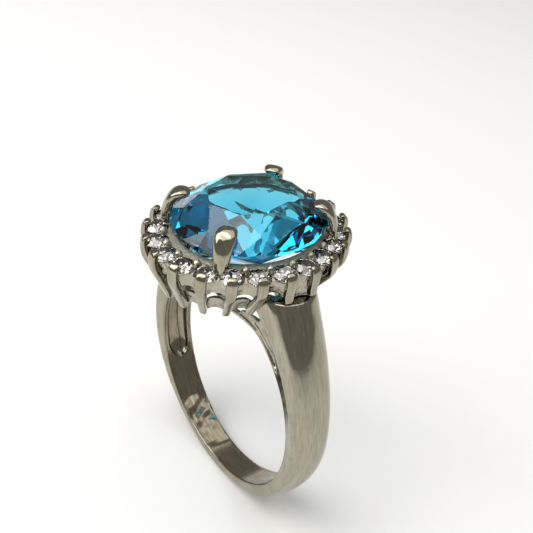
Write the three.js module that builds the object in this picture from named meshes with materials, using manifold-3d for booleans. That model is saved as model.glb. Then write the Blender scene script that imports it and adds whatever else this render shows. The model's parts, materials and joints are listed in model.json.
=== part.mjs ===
// Cocktail ring: an oval topaz in four claws, a scalloped halo of round diamonds, and a white gold
// shank with hollowed shoulders. Millimetres, +Z up through the stone, finger hole along Y,
// origin at the centre of the finger hole.

import * as THREE from 'three';
import { mergeVertices } from 'three/addons/utils/BufferGeometryUtils.js';
import Module from 'manifold-3d';

const wasm = await Module();
wasm.setup();

// ---- Driving dimensions -------------------------------------------------------------------------

const HOLE_RADIUS = 9.05;
const GAP = 0.03;

// Shank, by angle from the top of the ring in degrees: [angle, value]
const RIM_HALF_WIDTH = [[12, 2.3], [20, 1.8], [27, 1.5], [40, 1.42], [120, 1.4], [180, 1.2]];
const EDGE_HALF_WIDTH = [[20, 2.5], [35, 2.2], [50, 2], [75, 1.75], [110, 1.55], [150, 1.3], [180, 1.25]];
const EDGE_RADIUS = [[0, 13], [20, 12.6], [27, 12.3], [32, 11.9], [43, 11.25], [55, 10.7], [75, 10.2],
  [100, 10.05], [150, 9.85], [180, 9.85]];
const CROWN_HEIGHT = [[20, 2.6], [28, 2.3], [35, 1.8], [45, 1.35], [60, 1.05], [85, 0.88], [120, 0.46],
  [150, 0.14], [180, 0.12]];
const SHOULDER_START = 18;
const SHOULDER_TOP = 12.41;
const RAIL_THICKNESS = 0.36;
const RAIL_WIDTH = 0.46;
const RECESS_TIP_ANGLE = 46;
const RECESS_TIP_RADIUS = 9.85;
const RECESS_STEP = 0.15;
const SHELL_EDGE_THICKNESS = 0.62;
const SCOOP_END_ANGLE = 117;
const SCOOP_END_SPAN = 9;
const RING_STEP = 6;
const SCOOP_STOPS = [0, 12, 21, 27, 33, 39, 45, 54, 63, 72, 81, 90, 99, 105, 108, 111, 113.5, 115.5,
  116.6, 117];
const SCOOP_RADIUS = [[0, 12.2], [22, 12.2], [32, 11.4], [43, 10.8], [60, 10.3], [90, 9.95], [118, 9.65]];

// Halo: the tips of the outer claws stand on an ellipse, and everything else is set from it
const STONE_COUNT = 22;
const TIP_HALF_LENGTH = 7.75;
const TIP_HALF_WIDTH = 6.58;
const STONE_DIAMETER = 1.72;
const STONE_OFFSET = -0.78;
const STONE_GIRDLE_Z = 14.36;
const STONE_TILT = THREE.MathUtils.degToRad(9);
const BEAD_OFFSET = -1.3;
const BEAD_RADIUS = 0.27;
const BEAD_TOP_Z = 14.78;
const LEDGE_HALF_LENGTH = 5.5;
const LEDGE_HALF_WIDTH = 4.56;
const CLAW_END_HALF_LENGTH = 6.3;
const CLAW_END_HALF_WIDTH = 4.5;
const CLAW_END_Z = 10.45;
const SHORT_CLAW_END_Z = 12.46;

// Lower gallery wire
const WIRE_HALF_LENGTH = 6.32;
const WIRE_HALF_WIDTH = 4.78;
const WIRE_HEIGHT = 1.05;
const WIRE_THICKNESS = 0.42;
const WIRE_LOW_Z = 11.35;
const WIRE_RISE = 0.6;

// Centre stone and its basket
const TOPAZ_HALF_LENGTH = 6;
const TOPAZ_HALF_WIDTH = 5;
const TOPAZ_GIRDLE_Z = 15.45;
const TOPAZ_TABLE_Z = 17.45;
const TOPAZ_CULET_Z = 11.3;
const BASKET_HALF_LENGTH = 4.75;
const BASKET_HALF_WIDTH = 3.7;
const BASKET_Z = 12.75;
const CENTRE_CLAW_SLOT = 2.5;

// ---- Materials ----------------------------------------------------------------------------------

const whiteGold = new THREE.MeshStandardMaterial({ color: '#b9b3a4', roughness: 0.18, metalness: 1 });
const prongGold = new THREE.MeshStandardMaterial({ color: '#c2bcae', roughness: 0.15, metalness: 1 });
const topazBlue = new THREE.MeshStandardMaterial({ color: '#1b8fc4', roughness: 0.05, metalness: 0 });
const diamondClear = new THREE.MeshStandardMaterial({ color: '#eef1f2', roughness: 0.02, metalness: 0 });

// ---- Small geometry helpers ---------------------------------------------------------------------

const TAU = 2 * Math.PI;

// Smooth curve through [position, value] pairs, flat beyond both ends
function smooth(pairs, at) {
  const last = pairs.length - 1;
  if (at <= pairs[0][0]) return pairs[0][1];
  if (at >= pairs[last][0]) return pairs[last][1];
  const i = pairs.findIndex(([position]) => position > at) - 1;
  const slope = (j) => {
    const before = pairs[Math.max(j - 1, 0)];
    const after = pairs[Math.min(j + 1, last)];
    return (after[1] - before[1]) / (after[0] - before[0]);
  };
  const span = pairs[i + 1][0] - pairs[i][0];
  const u = (at - pairs[i][0]) / span;
  const blend = 3 * u ** 2 - 2 * u ** 3;
  const leaving = span * slope(i) * (u ** 3 - 2 * u ** 2 + u);
  const arriving = span * slope(i + 1) * (u ** 3 - u ** 2);
  return pairs[i][1] * (1 - blend) + pairs[i + 1][1] * blend + leaving + arriving;
}

// Closed body from points and triangles, turned outward if its volume comes out negative
function closedBody(points, triangles) {
  const corner = (i) => points[i];
  const volume = triangles.reduce((sum, [a, b, c]) => (
    sum + corner(a).dot(new THREE.Vector3().crossVectors(corner(b), corner(c)))), 0);
  const index = triangles.flatMap(([a, b, c]) => (volume > 0 ? [a, b, c] : [a, c, b]));
  const geometry = new THREE.BufferGeometry();
  geometry.setAttribute('position', new THREE.Float32BufferAttribute(points.flatMap((p) => p.toArray()), 3));
  geometry.setIndex(index);
  return geometry;
}

// Skin through loops of points; an open loft is closed by a fan at each end
function loft(loops, isRing = false) {
  const size = loops[0].length;
  const points = loops.flat();
  const triangles = [];
  const spans = isRing ? loops.length : loops.length - 1;
  for (let i = 0; i < spans; i += 1) {
    const here = i * size;
    const next = ((i + 1) % loops.length) * size;
    for (let j = 0; j < size; j += 1) {
      const k = (j + 1) % size;
      triangles.push([here + j, next + j, next + k], [here + j, next + k, here + k]);
    }
  }
  if (!isRing) {
    const ends = [[loops[0], 0, true], [loops.at(-1), points.length - size, false]];
    for (const [loop, start, isFirst] of ends) {
      const centre = loop.reduce((sum, p) => sum.add(p), new THREE.Vector3()).divideScalar(size);
      const hub = points.push(centre) - 1;
      for (let j = 0; j < size; j += 1) {
        const k = (j + 1) % size;
        triangles.push(isFirst ? [hub, start + j, start + k] : [hub, start + k, start + j]);
      }
    }
  }
  return closedBody(points, triangles);
}

function toSolid(geometry) {
  const bare = geometry.clone();
  bare.deleteAttribute('normal');
  bare.deleteAttribute('uv');
  const merged = mergeVertices(bare, 1e-5);
  return new wasm.Manifold(new wasm.Mesh({
    numProp: 3,
    vertProperties: new Float32Array(merged.attributes.position.array),
    triVerts: new Uint32Array(merged.index.array),
  }));
}

function toGeometry(solid) {
  const mesh = solid.getMesh();
  const geometry = new THREE.BufferGeometry();
  geometry.setAttribute('position', new THREE.BufferAttribute(new Float32Array(mesh.vertProperties), 3));
  geometry.setIndex(new THREE.BufferAttribute(new Uint32Array(mesh.triVerts), 1));
  return geometry;
}

const subtractAll = (solid, cutters) => cutters.reduce((rest, cutter) => rest.subtract(cutter), solid);

function piece(name, geometry, material) {
  const mesh = new THREE.Mesh(geometry, material);
  mesh.name = name;
  return mesh;
}

const twoDigits = (number) => String(number).padStart(2, '0');

// ---- The halo's layout --------------------------------------------------------------------------

// Place on the claw-tip ellipse at a slot number: whole slots are stones, halves lie between them
function tipAngle(slot) {
  const steps = 2000;
  const step = TAU / steps;
  const lengths = [0];
  for (let i = 0; i < steps; i += 1) {
    const t = (i + 0.5) * step;
    lengths.push(lengths[i] + step * Math.hypot(TIP_HALF_WIDTH * Math.cos(t), TIP_HALF_LENGTH * Math.sin(t)));
  }
  const wanted = lengths[steps] * (slot / STONE_COUNT);
  return step * lengths.findIndex((length) => length >= wanted - 1e-9);
}

// Slot 0 is at the -Y end and the numbers run toward +X
function haloPlace(slot) {
  const angle = tipAngle(slot);
  const tip = new THREE.Vector3(TIP_HALF_WIDTH * Math.sin(angle), -TIP_HALF_LENGTH * Math.cos(angle), 0);
  const outward = new THREE.Vector3(TIP_HALF_LENGTH * Math.sin(angle), -TIP_HALF_WIDTH * Math.cos(angle), 0);
  outward.normalize();
  const along = new THREE.Vector3(-outward.y, outward.x, 0);
  const at = (offset, z, side = 0) => new THREE.Vector3(0, 0, z)
    .add(tip)
    .addScaledVector(outward, offset)
    .addScaledVector(along, side);
  return { angle, tip, outward, along, at };
}

const stoneSlots = Array.from({ length: STONE_COUNT }, (_, i) => i);
const claimedSlots = [1, -1].flatMap((side) => [
  (side * CENTRE_CLAW_SLOT + STONE_COUNT) % STONE_COUNT,
  STONE_COUNT / 2 - side * CENTRE_CLAW_SLOT,
]);

// ---- Shank --------------------------------------------------------------------------------------

const ringPoint = (degrees, radius, y) => {
  const angle = THREE.MathUtils.degToRad(degrees);
  return new THREE.Vector3(radius * Math.sin(angle), y, radius * Math.cos(angle));
};

const fromTop = (degrees) => Math.min(degrees, 360 - degrees);

// Cross-section of the full shank: straight inside, flared sides and a domed outer face
function shankSection(degrees) {
  const angle = fromTop(degrees);
  const rim = smooth(RIM_HALF_WIDTH, angle);
  const edge = smooth(EDGE_HALF_WIDTH, angle);
  const radius = smooth(EDGE_RADIUS, angle);
  const crown = smooth(CROWN_HEIGHT, angle);
  const dome = Array.from({ length: 7 }, (_, i) => {
    const turn = Math.PI * (i / 6 - 0.5);
    return ringPoint(degrees, radius + crown * Math.cos(turn), edge * Math.sin(turn));
  });
  const inside = [1, -1].map((side) => ringPoint(degrees, HOLE_RADIUS, rim * side));
  return [...dome, ...inside];
}

// Two thin rails carry the line of the finger hole under the head
function railSection(degrees) {
  const rim = smooth(RIM_HALF_WIDTH, fromTop(degrees));
  const outer = HOLE_RADIUS + RAIL_THICKNESS;
  return [[outer, -rim], [outer, rim], [HOLE_RADIUS, rim], [HOLE_RADIUS, -rim]]
    .map(([radius, y]) => ringPoint(degrees, radius, y));
}

// The hollow behind each shoulder, open to the finger hole, with a rounded lower end
function scoopSection(degrees, mirror) {
  const end = Math.max(0, (degrees - SCOOP_END_ANGLE + SCOOP_END_SPAN) / SCOOP_END_SPAN);
  const round = Math.sqrt(Math.max(0.02, 1 - end ** 2));
  const half = (smooth(RIM_HALF_WIDTH, degrees) - RAIL_WIDTH) * round;
  const floor = HOLE_RADIUS + (smooth(SCOOP_RADIUS, degrees) - HOLE_RADIUS) * Math.max(round, 0.15);
  const wall = HOLE_RADIUS + (floor - HOLE_RADIUS) * 0.55;
  return [[HOLE_RADIUS - 1, -half], [HOLE_RADIUS - 1, half], [wall, half], [floor, half * 0.55],
    [floor, -half * 0.55], [wall, -half]]
    .map(([radius, y]) => ringPoint(degrees * mirror, radius, y));
}

// Long V-shaped recess in one flank of a shoulder, between its rail and its outer shell
function sideRecess(mirror, side) {
  const inner = HOLE_RADIUS + RAIL_THICKNESS;
  const lower = [8, 16, 24, 32, 38].map((angle) => [angle, inner]);
  const upper = [40, 34, 28, 22, 8]
    .map((angle) => [angle, smooth(EDGE_RADIUS, angle) - SHELL_EDGE_THICKNESS]);
  const outline = [...lower, [RECESS_TIP_ANGLE, RECESS_TIP_RADIUS], ...upper];
  const back = (angle) => smooth(RIM_HALF_WIDTH, angle) - RECESS_STEP;
  const loopAt = (reach) => outline.map(([angle, radius]) => (
    ringPoint(angle * mirror, radius, side * reach(angle))));
  return loft([loopAt(back), loopAt(() => 4)]);
}

// Room for the head: an elliptical funnel down the inside of the lower gallery's outline
function headRoom() {
  const levels = [[9.42, 4.5, 5.9], [10.6, 5.02, 6.6], [11.9, 5.14, 6.7], [12.7, 5.6, 7.1]];
  return loft(levels.map(([z, halfWidth, halfLength]) => Array.from({ length: 36 }, (_, i) => {
    const turn = (TAU * i) / 36;
    return new THREE.Vector3(halfWidth * Math.cos(turn), halfLength * Math.sin(turn), z);
  })));
}

function shank(clawCutters) {
  const shoulderSteps = (360 - 2 * SHOULDER_START) / RING_STEP;
  const shoulders = toSolid(loft(Array.from({ length: shoulderSteps + 1 }, (_, i) => (
    shankSection(SHOULDER_START + RING_STEP * i)))));
  const rails = toSolid(loft(Array.from({ length: 360 / RING_STEP }, (_, i) => (
    railSection(RING_STEP * i))), true));
  const above = new THREE.BoxGeometry(30, 30, 10);
  above.translate(0, 0, SHOULDER_TOP + 5);
  const trimmed = shoulders.subtract(toSolid(above)).subtract(toSolid(headRoom()));
  const scoops = [1, -1].map((mirror) => toSolid(loft(SCOOP_STOPS.map((angle) => (
    scoopSection(angle, mirror))))));
  const recesses = [[1, 1], [1, -1], [-1, 1], [-1, -1]]
    .map(([mirror, side]) => toSolid(sideRecess(mirror, side)));
  const joined = subtractAll(trimmed, recesses).add(rails);
  return toGeometry(subtractAll(joined, [...scoops, ...clawCutters]));
}

// ---- Halo ---------------------------------------------------------------------------------------

// Round brilliant, about its girdle plane, with its table toward +Z
function diamond(diameter, grow = 0) {
  const radius = diameter / 2 + grow;
  const profile = [[0, -0.43 * diameter - grow], [radius, -0.015 * diameter - grow / 2],
    [radius, 0.015 * diameter + grow / 2], [0.56 * radius, 0.15 * diameter + grow],
    [0, 0.15 * diameter + grow]].map(([x, y]) => new THREE.Vector2(x, y));
  const geometry = new THREE.LatheGeometry(profile, 8);
  geometry.rotateX(Math.PI / 2);
  return geometry;
}

function stonePose(slot) {
  const place = haloPlace(slot);
  const turn = new THREE.Quaternion().setFromAxisAngle(place.along, STONE_TILT);
  const middle = place.at(STONE_OFFSET, STONE_GIRDLE_Z);
  return new THREE.Matrix4().compose(middle, turn, new THREE.Vector3(1, 1, 1));
}

// A claw: lofted polygons along a path, each with its own width and depth
function clawBody(path, along, grow, sides) {
  const middles = path.map(({ middle }) => middle);
  return loft(path.map(({ middle, width, depth }, i) => {
    const ahead = middles[Math.min(i + 1, middles.length - 1)];
    const behind = middles[Math.max(i - 1, 0)];
    const run = ahead.clone().sub(behind).normalize();
    const outer = new THREE.Vector3().crossVectors(run, along).normalize();
    const stretch = i === 0 ? -grow : (i === path.length - 1 ? grow : 0);
    const centre = middle.clone().addScaledVector(run, stretch);
    return Array.from({ length: sides }, (_, j) => {
      const turn = (TAU * (j + 0.5)) / sides;
      return centre.clone()
        .addScaledVector(along, (width / 2 + grow) * Math.cos(turn) * 1.08)
        .addScaledVector(outer, (depth / 2 + grow) * Math.sin(turn) * 1.08);
    });
  }));
}

// Outer claw: hooked over the edge of its stone, bulging outward, then leaning in to the gallery
function haloClaw(slot, grow = 0) {
  const place = haloPlace(slot);
  const foot = new THREE.Vector3(CLAW_END_HALF_WIDTH * Math.sin(place.angle),
    -CLAW_END_HALF_LENGTH * Math.cos(place.angle), CLAW_END_Z);
  const isShort = Math.abs(place.tip.x) > 6 && Math.abs(place.tip.y) < 2;
  const lean = (z) => place.at(0.03, 13.4).lerp(foot, (13.4 - z) / (13.4 - CLAW_END_Z)).setZ(z);
  const path = [
    { middle: place.at(-0.24, 14.66), width: 0.42, depth: 0.2 },
    { middle: place.at(-0.08, 14.74), width: 0.66, depth: 0.36 },
    { middle: place.at(0.1, 14.58), width: 0.78, depth: 0.46 },
    { middle: place.at(0.14, 14.2), width: 0.8, depth: 0.5 },
    { middle: place.at(0.03, 13.4), width: 0.74, depth: 0.56 },
  ];
  const stops = isShort ? [12.9, SHORT_CLAW_END_Z] : [12.5, 11.6, CLAW_END_Z + 0.25, CLAW_END_Z];
  for (const z of stops) {
    const taper = (13.4 - z) / (13.4 - CLAW_END_Z);
    const tipTaper = z === CLAW_END_Z ? 0.6 : 1;
    path.push({ middle: lean(z), width: (0.74 - 0.16 * taper) * tipTaper, depth: 0.56 * tipTaper });
  }
  return clawBody(path, place.along, grow, 6);
}

// The plate's lower edge runs straight where it meets the top of a shoulder
const isOverShoulder = (slot) => Math.abs((slot % 11) - 5.5) < 0.5;

// Collet plate: a scalloped elliptical ring that holds the small stones, arched underneath
function haloPlate(stoneCutters, clawCutters) {
  const perSlot = 4;
  const loops = Array.from({ length: STONE_COUNT * perSlot }, (_, i) => {
    const slot = i / perSlot;
    const place = haloPlace(slot);
    const between = Math.sin(Math.PI * (slot % 1));
    const edge = -0.06 - 0.26 * between;
    const lower = 12.45 + (isOverShoulder(slot) ? 0 : 0.6 * between);
    const outside = [[edge - 0.7, lower], [edge - 0.36, lower], [edge - 0.12, 13.5], [edge, 14.12]]
      .map(([offset, z]) => place.at(offset, z));
    const ledge = [[0.3, 14.6], [0.06, 14.68], [0, 14.56], [0.08, 13.7]]
      .map(([offset, z]) => new THREE.Vector3((LEDGE_HALF_WIDTH + offset) * Math.sin(place.angle),
        -(LEDGE_HALF_LENGTH + offset) * Math.cos(place.angle), z));
    return [...outside, ...ledge];
  });
  const body = toSolid(loft(loops, true));
  const beadSlots = stoneSlots.map((slot) => slot + 0.5).filter((slot) => !claimedSlots.includes(slot));
  const beads = beadSlots.map((slot) => {
    const profile = [[0, 13.9], [BEAD_RADIUS, 13.9], [BEAD_RADIUS, BEAD_TOP_Z - 0.15], [0, BEAD_TOP_Z]]
      .map(([x, y]) => new THREE.Vector2(x, y));
    const bead = new THREE.LatheGeometry(profile, 6);
    bead.rotateX(Math.PI / 2);
    const foot = haloPlace(slot).at(BEAD_OFFSET, 0);
    bead.translate(foot.x, foot.y, 0);
    return toSolid(bead);
  });
  const whole = beads.reduce((sum, bead) => sum.add(bead), body);
  return toGeometry(subtractAll(whole, [...stoneCutters, ...clawCutters]));
}

// Lower gallery: a flat wire that arches up between the feet of the outer claws
function lowerGallery(clawCutters) {
  const perSlot = 4;
  const loops = Array.from({ length: STONE_COUNT * perSlot }, (_, i) => {
    const slot = i / perSlot;
    const { angle } = haloPlace(slot);
    const middle = WIRE_LOW_Z + WIRE_RISE * Math.sin(Math.PI * (slot % 1));
    const half = WIRE_THICKNESS / 2;
    const flare = 0.1;
    return [[half + flare, WIRE_HEIGHT / 2], [half - flare, -WIRE_HEIGHT / 2],
      [-half - flare, -WIRE_HEIGHT / 2], [-half + flare, WIRE_HEIGHT / 2]]
      .map(([offset, rise]) => new THREE.Vector3(
        (WIRE_HALF_WIDTH + offset) * Math.sin(angle),
        -(WIRE_HALF_LENGTH + offset) * Math.cos(angle), middle + rise));
  });
  return toGeometry(subtractAll(toSolid(loft(loops, true)), clawCutters));
}

// ---- Centre stone, its claws and its basket ------------------------------------------------------

// One oval level of the cut stone: a scale of the girdle outline at a height
function ovalLevel(scale, z, grow = 0) {
  return Array.from({ length: 24 }, (_, i) => {
    const turn = (TAU * i) / 24;
    return new THREE.Vector3((TOPAZ_HALF_WIDTH * scale + grow) * Math.cos(turn),
      (TOPAZ_HALF_LENGTH * scale + grow) * Math.sin(turn), z);
  });
}

function topaz(grow = 0) {
  const levels = [[0.03, TOPAZ_CULET_Z - grow], [0.55, 12.95 - grow], [0.86, 14.45 - grow],
    [1, TOPAZ_GIRDLE_Z - 0.08], [1, TOPAZ_GIRDLE_Z + 0.08], [0.85, 16.6 + grow],
    [0.62, TOPAZ_TABLE_Z + grow]];
  return loft(levels.map(([scale, z]) => ovalLevel(scale, z, grow)));
}

// Centre claw: rises between two halo stones, widens to a broad shoulder and folds over the crown
function centreClaw(slot, grow = 0) {
  const base = haloPlace(slot).at(-1.02, 0);
  const out = new THREE.Vector3(base.x * 1.12, base.y, 0).normalize();
  const along = new THREE.Vector3(-out.y, out.x, 0);
  const at = (offset, z) => base.clone().addScaledVector(out, offset).setZ(z);
  const path = [
    { middle: at(-0.75, 12.1), width: 0.6, depth: 0.6 },
    { middle: at(-0.35, 13.2), width: 0.5, depth: 0.6 },
    { middle: at(0, 14.3), width: 0.46, depth: 0.6 },
    { middle: at(-0.14, 14.9), width: 0.8, depth: 0.66 },
    { middle: at(-0.26, 15.6), width: 1.15, depth: 0.72 },
    { middle: at(-0.4, 16.2), width: 1.4, depth: 0.78 },
    { middle: at(-0.66, 16.66), width: 1.46, depth: 0.84 },
    { middle: at(-1.08, 16.94), width: 1.4, depth: 0.8 },
    { middle: at(-1.5, 17.02), width: 1.14, depth: 0.68 },
    { middle: at(-1.78, 16.98), width: 0.7, depth: 0.5 },
  ];
  return clawBody(path, along, grow, 8);
}

// Basket rail: a plain oval wire below the stone that ties the centre claws together
function basketRail(clawCutters) {
  const loops = Array.from({ length: 40 }, (_, i) => {
    const turn = (TAU * i) / 40;
    return Array.from({ length: 6 }, (__, j) => {
      const around = (TAU * j) / 6;
      const offset = 0.3 * Math.cos(around);
      return new THREE.Vector3((BASKET_HALF_WIDTH + offset) * Math.cos(turn),
        (BASKET_HALF_LENGTH + offset) * Math.sin(turn), BASKET_Z + 0.3 * Math.sin(around));
    });
  });
  return toGeometry(subtractAll(toSolid(loft(loops, true)), clawCutters));
}

// ---- Assembly -----------------------------------------------------------------------------------

const ring = new THREE.Group();

const topazCutter = toSolid(topaz(GAP));
const stoneCutters = stoneSlots.map((slot) => {
  const geometry = diamond(STONE_DIAMETER, GAP);
  geometry.applyMatrix4(stonePose(slot));
  return toSolid(geometry);
});
const haloClawCutters = stoneSlots.map((slot) => toSolid(haloClaw(slot, GAP)));
const centreClawCutters = claimedSlots.map((slot) => toSolid(centreClaw(slot, GAP)));

ring.add(piece('shank', shank(haloClawCutters), whiteGold));
ring.add(piece('halo_plate', haloPlate(stoneCutters, [...haloClawCutters, ...centreClawCutters]), whiteGold));
ring.add(piece('lower_gallery', lowerGallery([...haloClawCutters, ...centreClawCutters]), whiteGold));
ring.add(piece('basket_rail', basketRail(centreClawCutters), whiteGold));
ring.add(piece('centre_topaz', topaz(), topazBlue));

claimedSlots.forEach((slot, i) => {
  const claw = toSolid(centreClaw(slot));
  const fitted = subtractAll(claw, [topazCutter, ...stoneCutters]);
  ring.add(piece(`centre_claw_${i + 1}`, toGeometry(fitted), prongGold));
});

stoneSlots.forEach((slot) => {
  const number = twoDigits(slot + 1);
  const claw = toSolid(haloClaw(slot)).subtract(stoneCutters[slot]);
  ring.add(piece(`halo_claw_${number}`, toGeometry(claw), prongGold));
  const stone = piece(`halo_diamond_${number}`, diamond(STONE_DIAMETER), diamondClear);
  stone.applyMatrix4(stonePose(slot));
  ring.add(stone);
});

export default ring;
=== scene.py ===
"""Cocktail ring with an oval topaz, a halo of round diamonds and a white gold shank.

Every piece is modelled at a thousand times its size, one unit to the millimetre, because
remeshing and merging work poorly below a tenth of a unit. finish_piece brings it down to metres.
"""

import json
import math

import bmesh
import bpy
from mathutils import Matrix, Quaternion, Vector


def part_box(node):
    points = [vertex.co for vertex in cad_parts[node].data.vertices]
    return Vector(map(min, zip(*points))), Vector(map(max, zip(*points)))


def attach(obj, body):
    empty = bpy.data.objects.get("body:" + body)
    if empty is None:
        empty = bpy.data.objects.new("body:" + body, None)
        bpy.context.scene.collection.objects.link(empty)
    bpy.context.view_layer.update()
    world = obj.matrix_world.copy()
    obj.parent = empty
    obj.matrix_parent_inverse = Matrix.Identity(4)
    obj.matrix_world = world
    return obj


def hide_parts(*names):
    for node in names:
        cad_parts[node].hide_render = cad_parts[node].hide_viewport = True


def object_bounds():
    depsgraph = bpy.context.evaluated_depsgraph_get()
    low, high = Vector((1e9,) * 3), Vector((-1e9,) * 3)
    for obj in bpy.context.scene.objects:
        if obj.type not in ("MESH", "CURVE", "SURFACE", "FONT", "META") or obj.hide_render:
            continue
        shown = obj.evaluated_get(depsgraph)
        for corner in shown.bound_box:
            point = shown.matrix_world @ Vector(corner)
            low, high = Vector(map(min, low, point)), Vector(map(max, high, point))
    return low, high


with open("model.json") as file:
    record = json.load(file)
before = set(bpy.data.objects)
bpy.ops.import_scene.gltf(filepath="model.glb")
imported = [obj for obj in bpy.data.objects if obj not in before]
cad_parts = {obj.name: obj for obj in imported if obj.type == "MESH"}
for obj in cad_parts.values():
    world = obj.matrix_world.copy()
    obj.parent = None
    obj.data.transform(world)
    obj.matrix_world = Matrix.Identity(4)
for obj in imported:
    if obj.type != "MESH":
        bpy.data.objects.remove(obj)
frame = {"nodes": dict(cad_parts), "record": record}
CAD_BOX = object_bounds()

bl_info = {
    "name": "Cocktail ring",
    "version": (1, 0, 0),
    "blender": (4, 5, 0),
    "location": "3D View > Sidebar > Ring",
    "description": "Models a cocktail ring piece by piece on its packed frame",
    "category": "Add Mesh",
}

MM = 0.001
BODY = "root"

# ---- Sizes shared by several pieces, in millimetres ------------------------------------------------

HOLE_RADIUS = frame["record"]["mounts"][0]["dims"]["r_mm"]
STONE_COUNT = sum(name.startswith("halo_diamond") for name in frame["nodes"])
TIP_HALF_LENGTH = 7.75
TIP_HALF_WIDTH = 6.58
CENTRE_CLAW_SLOT = 2.5

# Shank, by angle from the top of the ring in degrees: (angle, value)
RIM_HALF_WIDTH = ((12, 2.3), (20, 1.8), (27, 1.5), (40, 1.42), (120, 1.4), (180, 1.2))
EDGE_HALF_WIDTH = ((20, 2.5), (35, 2.2), (50, 2.0), (75, 1.75), (110, 1.55), (150, 1.3), (180, 1.25))
EDGE_RADIUS = ((0, 13.0), (20, 12.6), (27, 12.3), (32, 11.9), (43, 11.25), (55, 10.7), (75, 10.2),
               (100, 10.05), (150, 9.85), (180, 9.85))
CROWN_HEIGHT = ((20, 2.6), (28, 2.3), (35, 1.8), (45, 1.35), (60, 1.05), (85, 0.88), (120, 0.46),
                (150, 0.14), (180, 0.12))
SCOOP_RADIUS = ((0, 12.2), (22, 12.2), (32, 11.4), (43, 10.8), (60, 10.3), (90, 9.95), (118, 9.65))
RAIL_THICKNESS = 0.36
RAIL_WIDTH = 0.46


def smooth(pairs, at):
    """Value of the smooth curve through (position, value) pairs, flat beyond both ends."""
    if at <= pairs[0][0]:
        return pairs[0][1]
    if at >= pairs[-1][0]:
        return pairs[-1][1]
    i = next(j for j, pair in enumerate(pairs) if pair[0] > at) - 1

    def slope(j):
        before = pairs[max(j - 1, 0)]
        after = pairs[min(j + 1, len(pairs) - 1)]
        return (after[1] - before[1]) / (after[0] - before[0])

    span = pairs[i + 1][0] - pairs[i][0]
    u = (at - pairs[i][0]) / span
    blend = 3 * u ** 2 - 2 * u ** 3
    leaving = span * slope(i) * (u ** 3 - 2 * u ** 2 + u)
    arriving = span * slope(i + 1) * (u ** 3 - u ** 2)
    return pairs[i][1] * (1 - blend) + pairs[i + 1][1] * blend + leaving + arriving


# ---- The halo's layout -----------------------------------------------------------------------------


def tip_angles(steps=4000):
    """Ellipse angle for each step of equal arc length round the claw-tip ellipse."""
    step = math.tau / steps
    lengths = [0.0]
    for i in range(steps):
        t = (i + 0.5) * step
        lengths.append(lengths[-1] + step * math.hypot(TIP_HALF_WIDTH * math.cos(t),
                                                       TIP_HALF_LENGTH * math.sin(t)))
    angles = []
    i = 0
    for j in range(steps):
        wanted = lengths[-1] * j / steps
        while lengths[i + 1] < wanted:
            i += 1
        angles.append(step * (i + (wanted - lengths[i]) / (lengths[i + 1] - lengths[i])))
    return angles


TIP_ANGLES = tip_angles()


class HaloPlace:
    """A place round the halo. Whole slots are stones, halves lie between; slot 0 is at -Y."""

    def __init__(self, slot):
        share = (slot / STONE_COUNT) % 1.0
        self.angle = TIP_ANGLES[round(share * len(TIP_ANGLES)) % len(TIP_ANGLES)]
        sine, cosine = math.sin(self.angle), math.cos(self.angle)
        self.tip = Vector((TIP_HALF_WIDTH * sine, -TIP_HALF_LENGTH * cosine, 0))
        self.outward = Vector((TIP_HALF_LENGTH * sine, -TIP_HALF_WIDTH * cosine, 0)).normalized()
        self.along = Vector((-self.outward.y, self.outward.x, 0))

    def at(self, offset, z):
        """Point at a distance outward from the claw-tip ellipse."""
        return self.tip + self.outward * offset + Vector((0, 0, z))

    def on_ellipse(self, half_width, half_length, z):
        """Point of another ellipse at the same ellipse angle."""
        return Vector((half_width * math.sin(self.angle), -half_length * math.cos(self.angle), z))


CLAIMED_SLOTS = (CENTRE_CLAW_SLOT, STONE_COUNT / 2 - CENTRE_CLAW_SLOT,
                 STONE_COUNT - CENTRE_CLAW_SLOT, STONE_COUNT / 2 + CENTRE_CLAW_SLOT)


# ---- Modelling steps -------------------------------------------------------------------------------


def deselect_all():
    """Nothing selected, in object mode."""
    if bpy.context.object and bpy.context.object.mode != "OBJECT":
        bpy.ops.object.mode_set(mode="OBJECT")
    bpy.ops.object.select_all(action="DESELECT")


def only_active(piece):
    """Make one piece the selected and active one."""
    deselect_all()
    piece.select_set(True)
    bpy.context.view_layer.objects.active = piece


def add_modifier(piece, kind, **settings):
    """Add a modifier, set it and apply it."""
    only_active(piece)
    bpy.ops.object.modifier_add(type=kind)
    modifier = piece.modifiers[-1]
    for name, value in settings.items():
        setattr(modifier, name, value)
    bpy.ops.object.modifier_apply(modifier=modifier.name)


def tidy_normals(piece):
    """Merge doubles and turn all faces outward."""
    only_active(piece)
    bpy.ops.object.mode_set(mode="EDIT")
    bpy.ops.mesh.select_all(action="SELECT")
    bpy.ops.mesh.remove_doubles(threshold=1e-4)
    bpy.ops.mesh.normals_make_consistent(inside=False)
    bpy.ops.object.mode_set(mode="OBJECT")


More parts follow.
